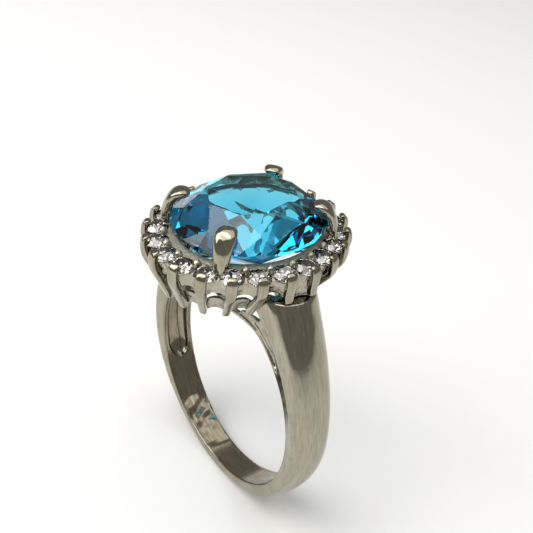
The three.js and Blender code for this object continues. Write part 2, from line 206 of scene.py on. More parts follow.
def loft(name, loops, is_ring=False):
    """Draw a section with a circle primitive, extrude it from place to place and close it."""
    deselect_all()
    bpy.ops.mesh.primitive_circle_add(vertices=len(loops[0]), radius=1, fill_type="NOTHING")
    piece = bpy.context.object
    piece.name = name
    piece.data.name = name
    bpy.ops.object.mode_set(mode="EDIT")
    here = None
    for loop in [*loops, loops[0]] if is_ring else loops:
        if here:
            bpy.ops.mesh.extrude_region_move()
        mesh = bmesh.from_edit_mesh(piece.data)
        mesh.verts.ensure_lookup_table()
        section = [v for v in mesh.verts if v.select]
        if here:
            order = {tuple(round(c, 5) for c in point): i for i, point in enumerate(here)}
            section.sort(key=lambda v: order[tuple(round(c, 5) for c in v.co)])
        for vertex, point in zip(section, loop):
            vertex.co = point
        here = [v.co.copy() for v in section]
        bmesh.update_edit_mesh(piece.data)
        if loop is loops[0] and not is_ring or loop is loops[-1] and not is_ring:
            bpy.ops.mesh.edge_face_add()
            if loop is loops[0]:
                keep_only_loop(piece, len(loops[0]))
    bpy.ops.object.mode_set(mode="OBJECT")
    tidy_normals(piece)
    return piece


def keep_only_loop(piece, count):
    """After the first cap is filled, leave just its edges selected, so that a skin grows from them."""
    bpy.ops.mesh.select_mode(type="EDGE")
    mesh = bmesh.from_edit_mesh(piece.data)
    for face in mesh.faces:
        face.select = False
    for edge in mesh.edges:
        edge.select = True
    bmesh.update_edit_mesh(piece.data)
    bpy.ops.mesh.select_mode(type="VERT")


def boolean(piece, cutter, operation="DIFFERENCE"):
    """Cut or join with another solid, which is used up."""
    add_modifier(piece, "BOOLEAN", object=cutter, operation=operation, solver="EXACT")
    bpy.data.objects.remove(cutter, do_unlink=True)


def join(pieces, name):
    """Join several meshes into one object."""
    deselect_all()
    for piece in pieces:
        piece.select_set(True)
    bpy.context.view_layer.objects.active = pieces[0]
    bpy.ops.object.join()
    whole = bpy.context.object
    whole.name = name
    whole.data.name = name
    return whole


def copy_of(piece, name, place):
    """Copy a piece with its own mesh and move the mesh by a matrix."""
    twin = piece.copy()
    twin.data = piece.data.copy()
    twin.name = name
    twin.data.name = name
    bpy.context.scene.collection.objects.link(twin)
    twin.data.transform(place)
    return twin


def finish_piece(piece, material, nodes, crease_angle=None):
    """Bring a piece down to metres, shade it, give it its material and tie it to the frame."""
    only_active(piece)
    bpy.ops.object.transform_apply(location=True, rotation=True, scale=True)
    piece.scale = (MM, MM, MM)
    bpy.ops.object.transform_apply(location=True, rotation=True, scale=True)
    if crease_angle is None:
        bpy.ops.object.shade_smooth()
    elif crease_angle == 0:
        bpy.ops.object.shade_flat()
    else:
        bpy.ops.object.shade_smooth_by_angle(angle=math.radians(crease_angle))
    piece.data.materials.clear()
    piece.data.materials.append(material)
    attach(piece, BODY)
    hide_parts(*nodes)


def change_finish(piece, material, is_changed):
    """Give the faces that a test picks another finish."""
    piece.data.materials.append(material)
    for face in piece.data.polygons:
        if is_changed(face):
            face.material_index = len(piece.data.materials) - 1


# ---- Materials -------------------------------------------------------------------------------------


def hex_colour(code):
    """sRGB hex to linear RGBA."""
    channels = [int(code[i:i + 2], 16) / 255 for i in (1, 3, 5)]
    linear = [c / 12.92 if c <= 0.04045 else ((c + 0.055) / 1.055) ** 2.4 for c in channels]
    return (*linear, 1.0)


def add_node(tree, kind, inputs=None, **settings):
    """Add a node, set its properties and fill or link its inputs."""
    node = tree.nodes.new(kind)
    for name, value in settings.items():
        setattr(node, name, value)
    for socket, value in (inputs or {}).items():
        if isinstance(value, bpy.types.NodeSocket):
            tree.links.new(value, node.inputs[socket])
        else:
            node.inputs[socket].default_value = value
    return node


def chosen(name):
    """A colour that the user has set, as linear RGBA."""
    return (*getattr(bpy.context.scene.ring_colours, name), 1.0)


def new_material(name):
    """Empty node material and its output."""
    material = bpy.data.materials.get(name)
    if material:
        return material, None, None
    material = bpy.data.materials.new(name)
    material.use_nodes = True
    tree = material.node_tree
    tree.nodes.clear()
    return material, tree, add_node(tree, "ShaderNodeOutputMaterial")


PER_MM = 1000.0


def polished_white_gold():
    """Cast 14 ct white gold, machine polished: a warm grey mirror with worn-in lines round the band."""
    material, tree, output = new_material("polished_white_gold")
    if tree is None:
        return material
    place = add_node(tree, "ShaderNodeTexCoord")
    # Polishing lines run round the band: 0.15 mm apart, coarser than the real ones so that they show
    stretch = add_node(tree, "ShaderNodeMapping", {
        "Vector": place.outputs["Object"], "Scale": (0.55 * PER_MM, 6.5 * PER_MM, 0.55 * PER_MM)})
    lines = add_node(tree, "ShaderNodeTexNoise", {
        "Vector": stretch.outputs["Vector"], "Scale": 1.0, "Detail": 4.0, "Roughness": 0.65,
        "Distortion": 0.9})
    # Slow unevenness of hand polishing, about 2 mm across
    swell = add_node(tree, "ShaderNodeTexNoise", {
        "Vector": place.outputs["Object"], "Scale": 0.5 * PER_MM, "Detail": 2.0})
    tone = add_node(tree, "ShaderNodeMapRange", {
        "Value": lines.outputs["Fac"], "From Min": 0.36, "From Max": 0.62})
    colour = add_node(tree, "ShaderNodeMixRGB", {
        "Fac": tone.outputs["Result"], "Color1": chosen("gold_low"), "Color2": chosen("gold_high")})
    dull = add_node(tree, "ShaderNodeMapRange", {
        "Value": lines.outputs["Fac"], "From Min": 0.3, "From Max": 0.7, "To Min": 0.11, "To Max": 0.03})
    scratches = add_node(tree, "ShaderNodeBump", {
        "Height": lines.outputs["Fac"], "Strength": 0.25, "Distance": 0.006 * MM})
    waves = add_node(tree, "ShaderNodeBump", {
        "Height": swell.outputs["Fac"], "Strength": 0.5, "Distance": 0.03 * MM,
        "Normal": scratches.outputs["Normal"]})
    metal = add_node(tree, "ShaderNodeBsdfPrincipled", {
        "Base Color": colour.outputs["Color"], "Metallic": 1.0,
        "Roughness": dull.outputs["Result"], "Normal": waves.outputs["Normal"]})
    tree.links.new(metal.outputs["BSDF"], output.inputs["Surface"])
    return material


def dented_white_gold():
    """The same gold in the setting, polished over its casting dents: it breaks up what it mirrors."""
    material, tree, output = new_material("dented_white_gold")
    if tree is None:
        return material
    place = add_node(tree, "ShaderNodeTexCoord")
    # Dents left by files and burs, 0.4 mm across
    dents = add_node(tree, "ShaderNodeTexNoise", {
        "Vector": place.outputs["Object"], "Scale": 2.4 * PER_MM, "Detail": 3.0, "Roughness": 0.55,
        "Distortion": 0.6})
    tone = add_node(tree, "ShaderNodeMixRGB", {
        "Fac": dents.outputs["Fac"], "Color1": hex_colour("#8b8575"), "Color2": hex_colour("#c2bdae")})
    hollows = add_node(tree, "ShaderNodeBump", {
        "Height": dents.outputs["Fac"], "Strength": 0.9, "Distance": 0.09 * MM})
    metal = add_node(tree, "ShaderNodeBsdfPrincipled", {
        "Base Color": tone.outputs["Color"], "Metallic": 1.0, "Roughness": 0.1,
        "Normal": hollows.outputs["Normal"]})
    tree.links.new(metal.outputs["BSDF"], output.inputs["Surface"])
    return material


def worn_and_shaded_white_gold():
    """The same gold on the finger side and in the hollows behind the shoulders: satin from wear, with
    rubbed marks, in a darker, browner tone that is painted shade.
    """
    material, tree, output = new_material("worn_and_shaded_white_gold")
    if tree is None:
        return material
    place = add_node(tree, "ShaderNodeTexCoord")
    # Rubbed marks round the band, 0.3 mm across
    stretch = add_node(tree, "ShaderNodeMapping", {
        "Vector": place.outputs["Object"], "Scale": (0.5 * PER_MM, 3.2 * PER_MM, 0.5 * PER_MM)})
    marks = add_node(tree, "ShaderNodeTexNoise", {
        "Vector": stretch.outputs["Vector"], "Scale": 1.0, "Detail": 5.0, "Roughness": 0.6,
        "Distortion": 0.8})
    tone = add_node(tree, "ShaderNodeMapRange", {
        "Value": marks.outputs["Fac"], "From Min": 0.3, "From Max": 0.7})
    # Darker, browner tones than the polished gold: painted shade on the finger side and in the hollows
    # behind the shoulders
    colour = add_node(tree, "ShaderNodeMixRGB", {
        "Fac": tone.outputs["Result"], "Color1": hex_colour("#7d7463"), "Color2": hex_colour("#a29a87")})
    dull = add_node(tree, "ShaderNodeMapRange", {
        "Value": marks.outputs["Fac"], "From Min": 0.3, "From Max": 0.7, "To Min": 0.26, "To Max": 0.1})
    rub = add_node(tree, "ShaderNodeBump", {
        "Height": marks.outputs["Fac"], "Strength": 0.4, "Distance": 0.02 * MM})
    metal = add_node(tree, "ShaderNodeBsdfPrincipled", {
        "Base Color": colour.outputs["Color"], "Metallic": 1.0, "Roughness": dull.outputs["Result"],
        "Normal": rub.outputs["Normal"]})
    tree.links.new(metal.outputs["BSDF"], output.inputs["Surface"])
    return material


def cast_white_gold():
    """The same gold left nearly as cast between the stones: duller, with fine pits and grime."""
    material, tree, output = new_material("cast_white_gold")
    if tree is None:
        return material
    place = add_node(tree, "ShaderNodeTexCoord")
    # Casting grain and polish residue, 0.2 mm across
    grain = add_node(tree, "ShaderNodeTexNoise", {
        "Vector": place.outputs["Object"], "Scale": 5 * PER_MM, "Detail": 5.0, "Roughness": 0.7})
    tone = add_node(tree, "ShaderNodeMixRGB", {
        "Fac": grain.outputs["Fac"], "Color1": hex_colour("#8f8873"), "Color2": hex_colour("#d8d2bf")})
    dull = add_node(tree, "ShaderNodeMapRange", {
        "Value": grain.outputs["Fac"], "To Min": 0.5, "To Max": 0.2})
    pits = add_node(tree, "ShaderNodeBump", {
        "Height": grain.outputs["Fac"], "Strength": 0.8, "Distance": 0.09 * MM})
    metal = add_node(tree, "ShaderNodeBsdfPrincipled", {
        "Base Color": tone.outputs["Color"], "Metallic": 0.8,
        "Roughness": dull.outputs["Result"], "Normal": pits.outputs["Normal"]})
    tree.links.new(metal.outputs["BSDF"], output.inputs["Surface"])
    return material


def faceted_topaz():
    """Swiss blue topaz, lapped and polished: clear, deep azure where the light's path is long."""
    material, tree, output = new_material("faceted_topaz")
    if tree is None:
        return material
    stone = add_node(tree, "ShaderNodeBsdfPrincipled", {
        "Base Color": hex_colour("#e6f8ff"), "Roughness": 0.0, "IOR": 1.62,
        "Transmission Weight": 1.0})
    body = add_node(tree, "ShaderNodeVolumeAbsorption", {
        "Color": chosen("topaz"), "Density": 350.0})
    tree.links.new(stone.outputs["BSDF"], output.inputs["Surface"])
    tree.links.new(body.outputs["Volume"], output.inputs["Volume"])
    return material


def brilliant_diamond():
    """Round brilliant melee, lapped and polished: colourless, with hard bright and dark flashes."""
    material, tree, output = new_material("brilliant_diamond")
    if tree is None:
        return material
    stone = add_node(tree, "ShaderNodeBsdfPrincipled", {
        "Base Color": chosen("diamond"), "Roughness": 0.0, "IOR": 2.42,
        "Transmission Weight": 1.0})
    tree.links.new(stone.outputs["BSDF"], output.inputs["Surface"])
    return material


def studio_paper():
    """Matt white background paper: even, with a faint tooth."""
    material, tree, output = new_material("studio_paper")
    if tree is None:
        return material
    place = add_node(tree, "ShaderNodeTexCoord")
    tooth = add_node(tree, "ShaderNodeTexNoise", {
        "Vector": place.outputs["Object"], "Scale": 2 * PER_MM, "Detail": 2.0})
    bump = add_node(tree, "ShaderNodeBump", {
        "Height": tooth.outputs["Fac"], "Strength": 0.03, "Distance": 0.02 * MM})
    paper = add_node(tree, "ShaderNodeBsdfPrincipled", {
        "Base Color": chosen("paper"), "Roughness": 0.9, "Normal": bump.outputs["Normal"]})
    tree.links.new(paper.outputs["BSDF"], output.inputs["Surface"])
    return material


# ---- Shank -----------------------------------------------------------------------------------------


def ring_point(degrees, radius, y):
    """Point on the ring's round, by angle from the top toward +X."""
    angle = math.radians(degrees)
    return Vector((radius * math.sin(angle), y, radius * math.cos(angle)))


def shank_section(degrees, dome_points=14):
    """Straight inside, flared sides and a domed outer face."""
    angle = min(degrees, 360 - degrees)
    rim = smooth(RIM_HALF_WIDTH, angle)
    edge = smooth(EDGE_HALF_WIDTH, angle)
    radius = smooth(EDGE_RADIUS, angle)
    crown = smooth(CROWN_HEIGHT, angle)
    points = []
    for i in range(dome_points + 1):
        turn = math.pi * (i / dome_points - 0.5)
        points.append(ring_point(degrees, radius + crown * math.cos(turn), edge * math.sin(turn)))
    for share in (0.34, 0.67):
        points.append(ring_point(degrees, radius + (HOLE_RADIUS - radius) * share,
                                 edge + (rim - edge) * share))
    for share in (1, 0.5, 0, -0.5, -1):
        points.append(ring_point(degrees, HOLE_RADIUS, rim * share))
    for share in (0.67, 0.34):
        points.append(ring_point(degrees, radius + (HOLE_RADIUS - radius) * share,
                                 -edge - (rim - edge) * share))
    return points


def rail_section(degrees):
    """The two rails' common section, before the slot between them is cut."""
    rim = smooth(RIM_HALF_WIDTH, min(degrees, 360 - degrees))
    outer = HOLE_RADIUS + RAIL_THICKNESS
    corners = ((outer, -rim), (outer, 0), (outer, rim), (HOLE_RADIUS, rim), (HOLE_RADIUS, 0),
               (HOLE_RADIUS, -rim))
    return [ring_point(degrees, radius, y) for radius, y in corners]


def scoop_section(degrees, side, end_angle=117.0, end_span=9.0):
    """Round-bottomed hollow behind a shoulder, open to the finger hole."""
    end = max(0.0, (degrees - end_angle + end_span) / end_span)
    taper = math.sqrt(max(0.01, 1 - end ** 2))
    half = (smooth(RIM_HALF_WIDTH, degrees) - RAIL_WIDTH) * taper
    floor = HOLE_RADIUS + (smooth(SCOOP_RADIUS, degrees) - HOLE_RADIUS) * max(taper, 0.12)
    wall = HOLE_RADIUS + (floor - HOLE_RADIUS) * 0.4
    points = [ring_point(degrees * side, HOLE_RADIUS - 1, y) for y in (-half, 0, half)]
    for i in range(9):
        turn = math.pi * i / 8
        points.append(ring_point(degrees * side, wall + (floor - wall) * math.sin(turn),
                                 half * math.cos(turn)))
    return points


def recess_back(angle):
    """How far out the floor of a side recess lies, a step behind the rail's flank."""
    return smooth(RIM_HALF_WIDTH, angle) - 0.15


def side_recess(mirror, side):
    """Long V-shaped recess in one flank of a shoulder, between its rail and its outer shell."""
    inner = HOLE_RADIUS + RAIL_THICKNESS
    outline = [(angle, inner) for angle in (8, 14, 20, 26, 32, 38, 42)]
    outline += [(45, inner + 0.12), (46.5, inner + 0.4), (45, inner + 0.62)]
    outline += [(angle, smooth(EDGE_RADIUS, angle) - 0.62) for angle in (40, 36, 32, 28, 24, 20, 8)]
    back = [ring_point(angle * mirror, radius, side * recess_back(angle)) for angle, radius in outline]
    front = [ring_point(angle * mirror, radius, side * 4) for angle, radius in outline]
    return loft("side_recess", [back, front])


def head_room():
    """Elliptical funnel that the shoulders leave for the head."""
    levels = ((9.42, 4.5, 5.9), (10.6, 5.02, 6.6), (11.9, 5.14, 6.7), (12.7, 5.6, 7.1))
    loops = []
    for z, half_width, half_length in levels:
        turns = [math.tau * i / 96 for i in range(96)]
        loops.append([Vector((half_width * math.cos(t), half_length * math.sin(t), z)) for t in turns])
    return loft("head_room", loops)


class RING_OT_shank(bpy.types.Operator):
    """Model the shank: a domed band, hollowed shoulders, side recesses and rails under the head"""

    bl_idname = "ring.shank"
    bl_label = "Shank"

    def execute(self, context):
        sizes = context.scene.ring_sizes
        start, steps = 15.0, 165
        arc = 360 - 2 * start
        shank = loft("shank_body", [shank_section(start + arc * i / steps) for i in range(steps + 1)])
        deselect_all()
        bpy.ops.mesh.primitive_cube_add(size=30, location=(0, 0, sizes.shoulder_top + 15))
        boolean(shank, bpy.context.object)
        boolean(shank, head_room())
        for mirror, side in ((1, 1), (1, -1), (-1, 1), (-1, -1)):
            boolean(shank, side_recess(mirror, side))
        rails = loft("rails", [rail_section(3.0 * i) for i in range(120)], is_ring=True)
        boolean(shank, rails, "UNION")
        stops = [0, *range(10, 105, 5), 107, 109, 111, 113, 114.5, 115.6, 116.4, 117]
        for side in (1, -1):
            boolean(shank, loft("scoop", [scoop_section(stop, side) for stop in stops]))
        add_modifier(shank, "REMESH", mode="VOXEL", voxel_size=sizes.shank_voxel)
        add_modifier(shank, "SMOOTH", factor=0.5, iterations=sizes.shank_smoothing)
        self.dent_inside(shank)
        finish_piece(shank, polished_white_gold(), ["shank"])
        change_finish(shank, cast_white_gold(), self.is_in_recess)
        # The finger side and the hollows behind the shoulders get the worn finish: real wear, with
        # painted shade in its darker, browner tone
        change_finish(shank, worn_and_shaded_white_gold(), self.is_inside)
        return {"FINISHED"}

    @staticmethod
    def dent_inside(shank):
        """Shallow dents on the finger side, low on the -X limb, where the band was once resized."""
        for vertex in shank.data.vertices:
            x, y, z = vertex.co
            radius = math.hypot(x, z)
            angle = math.degrees(math.atan2(x, z)) % 360
            if radius > HOLE_RADIUS + 0.12 or not 184 < angle < 226:
                continue
            fade = math.sin(math.pi * (angle - 184) / 42) ** 0.7 * max(0.0, 1 - (y / 1.3) ** 4)
            wave = math.sin(0.38 * angle + 1.3 * y) + 0.6 * math.sin(0.66 * angle - 2.2 * y + 1)
            grown = 1 + 0.06 * fade * (1.6 + wave) / radius
            vertex.co = (x * grown, y, z * grown)

    @staticmethod
    def is_inside(face):
        """True on the finger side and in the hollows behind the shoulders, where the worn finish paints
        shade in a darker, browner tone.
        """
        x, y, z = face.center / MM
        radius = math.hypot(x, z)
        outward = (face.normal.x * x + face.normal.z * z) / radius
        return radius < 12.4 and z < 11.5 and outward < -0.35

    @staticmethod
    def is_in_recess(face):
        """True in the recesses of the shoulders' flanks and in the room for the head."""
        x, y, z = face.center / MM
        radius = math.hypot(x, z)
        angle = math.degrees(math.atan2(abs(x), z))
        if z > 9.2 and radius > HOLE_RADIUS + 0.06 and math.hypot(x / 5.75, y / 7.25) < 1:
            return True
        if angle > 47 or radius < HOLE_RADIUS + RAIL_THICKNESS + 0.04:
            return False
        outer = smooth(EDGE_RADIUS, angle) - 0.66
        return radius < outer and abs(y) < recess_back(angle) + 0.06 and abs(face.normal.y) > 0.6


# ---- Halo ------------------------------------------------------------------------------------------


def cut_facets(piece, facets):
    """Lap flat facets on a rough stone: each is a bisect that drops what lies outside its plane."""
    only_active(piece)
    bpy.ops.object.mode_set(mode="EDIT")
    for point, normal in facets:
        bpy.ops.mesh.select_all(action="SELECT")
        bpy.ops.mesh.bisect(plane_co=point, plane_no=normal, use_fill=True, clear_outer=True)
    bpy.ops.object.mode_set(mode="OBJECT")
    tidy_normals(piece)


def facet_ring(count, first, slope, radius, height, up=1):
    """Facets of one slope round a stone, each through a point at this radius and height."""
    facets = []
    for i in range(count):
        turn = math.radians(first + 360 * i / count)
        tilt = math.radians(slope)
        outward = Vector((math.cos(turn), math.sin(turn), 0))
        facets.append((outward * radius + Vector((0, 0, height)),
                       outward * math.sin(tilt) + Vector((0, 0, up * math.cos(tilt)))))
    return facets


def brilliant_facets(radius, girdle, crown, pavilion):
    """A brilliant's facets about its girdle plane. crown and pavilion hold slopes and heights."""
    top, low = girdle / 2, -girdle / 2
    table_edge = radius - (crown["height"] - top) / math.tan(math.radians(crown["main"]))
    star_edge = table_edge * math.cos(math.radians(22.5))
    facets = facet_ring(16, 11.25, crown["girdle"], radius, top)
    facets += facet_ring(8, 0, crown["main"], radius, top)
    facets += facet_ring(8, 22.5, crown["star"], star_edge, crown["height"])
    facets.append((Vector((0, 0, crown["height"])), Vector((0, 0, 1))))
    facets += facet_ring(16, 11.25, pavilion["girdle"], radius, low, -1)
    facets += facet_ring(8, 0, pavilion["main"], radius, low, -1)
    if "culet" in pavilion:
        facets += facet_ring(8, 22.5, pavilion["culet"], 0, -pavilion["depth"], -1)
    return facets


def diamond_place(slot):
    """Where a halo stone sits, leaning outward with the plate."""
    place = HaloPlace(slot)
    lean = Matrix.Rotation(math.radians(9), 4, place.along)
    spin = Matrix.Rotation(place.angle + 0.37 * slot, 4, "Z")
    return Matrix.Translation(place.at(-0.78, 14.36)) @ lean @ spin


class RING_OT_diamonds(bpy.types.Operator):
    """Cut one round brilliant and set a copy of it in every seat of the halo"""

    bl_idname = "ring.diamonds"
    bl_label = "Halo diamonds"

    def execute(self, context):
        radius = context.scene.ring_sizes.diamond_diameter / 2
        deselect_all()
        bpy.ops.mesh.primitive_cylinder_add(vertices=32, radius=radius, depth=3 * radius)
        rough = bpy.context.object
        cut_facets(rough, brilliant_facets(
            radius, 0.05, {"main": 34.0, "girdle": 41.0, "star": 22.0, "height": 0.17 * 2 * radius},
            {"main": 40.9, "girdle": 42.3}))
        for i in range(STONE_COUNT):
            node = f"halo_diamond_{i + 1:02d}"
            stone = copy_of(rough, f"brilliant_{i + 1:02d}", diamond_place(i))
            finish_piece(stone, brilliant_diamond(), [node], crease_angle=0)
        bpy.data.objects.remove(rough, do_unlink=True)
        return {"FINISHED"}


def rounded_loop(middle, along, outward, width, depth, power, points=20):
    """Section of a claw: a superellipse, a plain ellipse at power 1 and squarer below it."""
    loop = []
    for i in range(points):
        turn = math.tau * (i + 0.5) / points
        cosine, sine = math.cos(turn), math.sin(turn)
        loop.append(middle
                    + along * (width / 2 * math.copysign(abs(cosine) ** power, cosine))
                    + outward * (depth / 2 * math.copysign(abs(sine) ** power, sine)))
    return loop


def claw_body(name, stops, along, power):
    """Loft a claw through its stops: (middle, width, depth), square to its run."""
    middles = [stop[0] for stop in stops]
    loops = []
    for i, (middle, width, depth) in enumerate(stops):
        run = (middles[min(i + 1, len(stops) - 1)] - middles[max(i - 1, 0)]).normalized()
        outward = run.cross(along).normalized()
        loops.append(rounded_loop(middle, along, outward, width, depth, power))
    return loft(name, loops)


def halo_claw_stops(slot):
    """Outer claw: hooked over its stone, bulging outward, then leaning in to the gallery."""
    place = HaloPlace(slot)
    foot = place.on_ellipse(4.5, 6.3, 10.45)
    is_short = abs(place.tip.x) > 6 and abs(place.tip.y) < 2

    def lean(z):
        point = place.at(0.03, 13.4).lerp(foot, 0 if is_short else (13.4 - z) / (13.4 - 10.45))
        point.z = z
        return point

    stops = [(place.at(-0.3, 14.66), 0.30, 0.12), (place.at(-0.25, 14.69), 0.46, 0.22),
             (place.at(-0.12, 14.74), 0.62, 0.34), (place.at(0.03, 14.68), 0.72, 0.42),
             (place.at(0.13, 14.46), 0.78, 0.47), (place.at(0.16, 14.1), 0.8, 0.5),
             (place.at(0.11, 13.7), 0.78, 0.53), (place.at(0.03, 13.3), 0.74, 0.55)]
    for z in (12.8, 12.4) if is_short else (12.6, 11.8, 11.1, 10.75, 10.55, 10.44):
        taper = (13.4 - z) / (13.4 - 10.45)
        end = 1.0 if is_short or z > 10.7 else (0.86 if z > 10.5 else 0.5)
        stops.append((lean(z), (0.74 - 0.2 * taper) * end, 0.55 * end))
    return place, stops


class RING_OT_halo_claws(bpy.types.Operator):
    """Model the outer claw of every halo stone"""

    bl_idname = "ring.halo_claws"
    bl_label = "Halo claws"

    def execute(self, context):
        for i in range(STONE_COUNT):
            place, stops = halo_claw_stops(i)
            claw = claw_body(f"outer_claw_{i + 1:02d}", stops, place.along, 0.5)
            add_modifier(claw, "SUBSURF", levels=1, render_levels=1)
            finish_piece(claw, polished_white_gold(), [f"halo_claw_{i + 1:02d}"])
        return {"FINISHED"}


def plate_section(slot):
    """Collet plate: scalloped outside, arched underneath, with a raised ledge inside."""
    place = HaloPlace(slot)
    between = math.sin(math.pi * (slot % 1))
    edge = -0.02 - 0.42 * between
    is_over_shoulder = abs(slot % 11 - 5.5) < 0.5
    lower = 12.45 + (0 if is_over_shoulder else 0.6 * between)
    skirt = 0.55 if is_over_shoulder else 0
    outside = ((edge - 0.68, lower + 0.06), (edge - 0.56 + skirt, lower),
               (edge - 0.4 + skirt, lower + 0.05), (edge - 0.22 + 0.5 * skirt, 13.1),
               (edge - 0.1, 13.6), (edge - 0.02, 13.98), (edge - 0.07, 14.1),
               (-0.5, 14.2), (-1.0, 14.36))
    ledge = ((0.55, 14.5), (0.3, 14.6), (0.08, 14.67), (0.0, 14.62), (0.0, 14.3), (0.08, 13.7))
    return ([place.at(offset, z) for offset, z in outside]
            + [place.on_ellipse(4.56 + offset, 5.5 + offset, z) for offset, z in ledge])


class RING_OT_halo_plate(bpy.types.Operator):
    """Model the collet plate with its seats and the shared beads between the stones"""

    bl_idname = "ring.halo_plate"
    bl_label = "Halo plate"

    def execute(self, context):
        radius = context.scene.ring_sizes.diamond_diameter / 2
        per_slot = 12
        plate = loft("collet_plate", [plate_section(i / per_slot)
                                      for i in range(STONE_COUNT * per_slot)], is_ring=True)
        bur = loft("bur", [[Vector((share * radius * math.cos(math.tau * i / 40),
                                    share * radius * math.sin(math.tau * i / 40), z))
                            for i in range(40)]
                           for share, z in ((0.3, -0.72), (1.02, -0.04), (1.02, 0.7))])
        seats = [copy_of(bur, "seat", diamond_place(i)) for i in range(STONE_COUNT)]
        for seat in seats:
            boolean(plate, seat)
        bpy.data.objects.remove(bur, do_unlink=True)
        beads = []
        for i in range(STONE_COUNT):
            if i + 0.5 in CLAIMED_SLOTS:
                continue
            foot = HaloPlace(i + 0.5).at(-1.26, 14.52)
            deselect_all()
            bpy.ops.mesh.primitive_uv_sphere_add(segments=20, ring_count=14, radius=0.34,
                                                 location=foot)
            bead = bpy.context.object
            bpy.ops.object.mode_set(mode="EDIT")
            bpy.ops.transform.resize(value=(1, 1, 1.25))
            bpy.ops.object.mode_set(mode="OBJECT")
            beads.append(bead)
        for bead in beads:
            only_active(bead)
            bpy.ops.object.transform_apply(location=True, rotation=True, scale=True)
        whole = join([plate, *beads], "collet_plate")
        finish_piece(whole, dented_white_gold(), ["halo_plate"], crease_angle=35)
        change_finish(whole, cast_white_gold(), self.is_on_ledge)
        return {"FINISHED"}


    @staticmethod
    def is_on_ledge(face):
        """True on the plate's flat top, inside the ring of stones."""
        x, y, z = face.center / MM
        share = math.hypot(x / (TIP_HALF_WIDTH - 1.15), y / (TIP_HALF_LENGTH - 1.15))
        return z > 13.6 and share < 1 and face.area < 0.2 * MM ** 2 and face.normal.z > 0.1


class RING_OT_lower_gallery(bpy.types.Operator):
    """Model the scalloped gallery wire round the foot of the head"""

    bl_idname = "ring.lower_gallery"
    bl_label = "Lower gallery"

    def execute(self, context):
        per_slot = 10
        loops = []
        for i in range(STONE_COUNT * per_slot):
            slot = i / per_slot
            arch = 0.6 * math.sin(math.pi * (slot % 1))
            profile = ((0.2, 0.42), (0.16, 0.52), (0.06, 0.56), (-0.08, 0.55), (-0.16, 0.48),
                       (-0.2, 0.0), (-0.18, -0.66), (-0.08, -0.8), (0.1, -0.8), (0.2, -0.7),
                       (0.06, -0.1))
            loops.append([HaloPlace(slot).on_ellipse(4.78 + offset + 0.55 * (arch + rise),
                                                     6.32 + offset + 0.45 * (arch + rise),
                                                     11.35 + arch + rise)
                          for offset, rise in profile])
        wire = loft("gallery_wire", loops, is_ring=True)
        finish_piece(wire, dented_white_gold(), ["lower_gallery"], crease_angle=50)
        return {"FINISHED"}


class RING_OT_basket_rail(bpy.types.Operator):
    """Model the plain oval rail under the centre stone"""

    bl_idname = "ring.basket_rail"
    bl_label = "Basket rail"

    def execute(self, context):
        deselect_all()
        bpy.ops.mesh.primitive_torus_add(major_segments=96, minor_segments=20, major_radius=4.2,
                                         minor_radius=0.28, location=(0, 0, 12.75))
        rail = bpy.context.object
        rail.name = "stone_basket"
        rail.data.name = "stone_basket"
        bpy.ops.object.mode_set(mode="EDIT")
        bpy.ops.mesh.select_all(action="SELECT")
        bpy.ops.transform.resize(value=(3.7 / 4.2, 4.75 / 4.2, 1))
        bpy.ops.object.mode_set(mode="OBJECT")
        finish_piece(rail, polished_white_gold(), ["basket_rail"])
        return {"FINISHED"}


# ---- Centre stone and its claws --------------------------------------------------------------------


class RING_OT_topaz(bpy.types.Operator):
    """Cut the oval topaz: a round brilliant is lapped, then drawn in to the oval"""

    bl_idname = "ring.topaz"
    bl_label = "Centre topaz"

    def execute(self, context):
        low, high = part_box("centre_topaz")
        half_width, half_length = high.x / MM, high.y / MM
        girdle_z = 15.45
        deselect_all()
        bpy.ops.mesh.primitive_cylinder_add(vertices=96, radius=half_length, depth=14)
        stone = bpy.context.object
        stone.name = "oval_topaz"
        stone.data.name = "oval_topaz"
        cut_facets(stone, brilliant_facets(
            half_length, 0.16,
            {"main": 38.5, "girdle": 46.0, "star": 26.0, "height": high.z / MM - girdle_z},
            {"main": 41.0, "girdle": 50.0, "culet": 30.0, "depth": girdle_z - low.z / MM}))
        bpy.ops.object.mode_set(mode="EDIT")
        bpy.ops.mesh.select_all(action="SELECT")
        bpy.ops.transform.resize(value=(half_width / half_length, 1, 1), center_override=(0, 0, 0))
        bpy.ops.transform.translate(value=(0, 0, girdle_z))
        bpy.ops.object.mode_set(mode="OBJECT")
        finish_piece(stone, faceted_topaz(), ["centre_topaz"], crease_angle=0)
        return {"FINISHED"}


def centre_claw_stops(slot):
    """Centre claw: rises between two halo stones, broadens and folds over the crown."""
    base = HaloPlace(slot).at(-1.02, 0)
    out = Vector((base.x * 1.12, base.y, 0)).normalized()
    along = Vector((-out.y, out.x, 0))

    def at(offset, z):
        point = base + out * offset
        point.z = z
        return point

    stops = [(at(-0.75, 12.1), 0.6, 0.6), (at(-0.35, 13.2), 0.6, 0.6), (at(-0.1, 14.2), 0.84, 0.62),
             (at(-0.1, 14.7), 1.04, 0.68), (at(-0.14, 15.1), 1.16, 0.74),
             (at(-0.22, 15.6), 1.28, 0.8), (at(-0.36, 16.1), 1.4, 0.8),
             (at(-0.58, 16.55), 1.48, 0.8), (at(-0.86, 16.85), 1.5, 0.78),
             (at(-1.2, 16.97), 1.44, 0.7), (at(-1.5, 16.99), 1.26, 0.58),
             (at(-1.7, 16.98), 1.0, 0.44), (at(-1.82, 16.96), 0.66, 0.28)]
    return along, stops


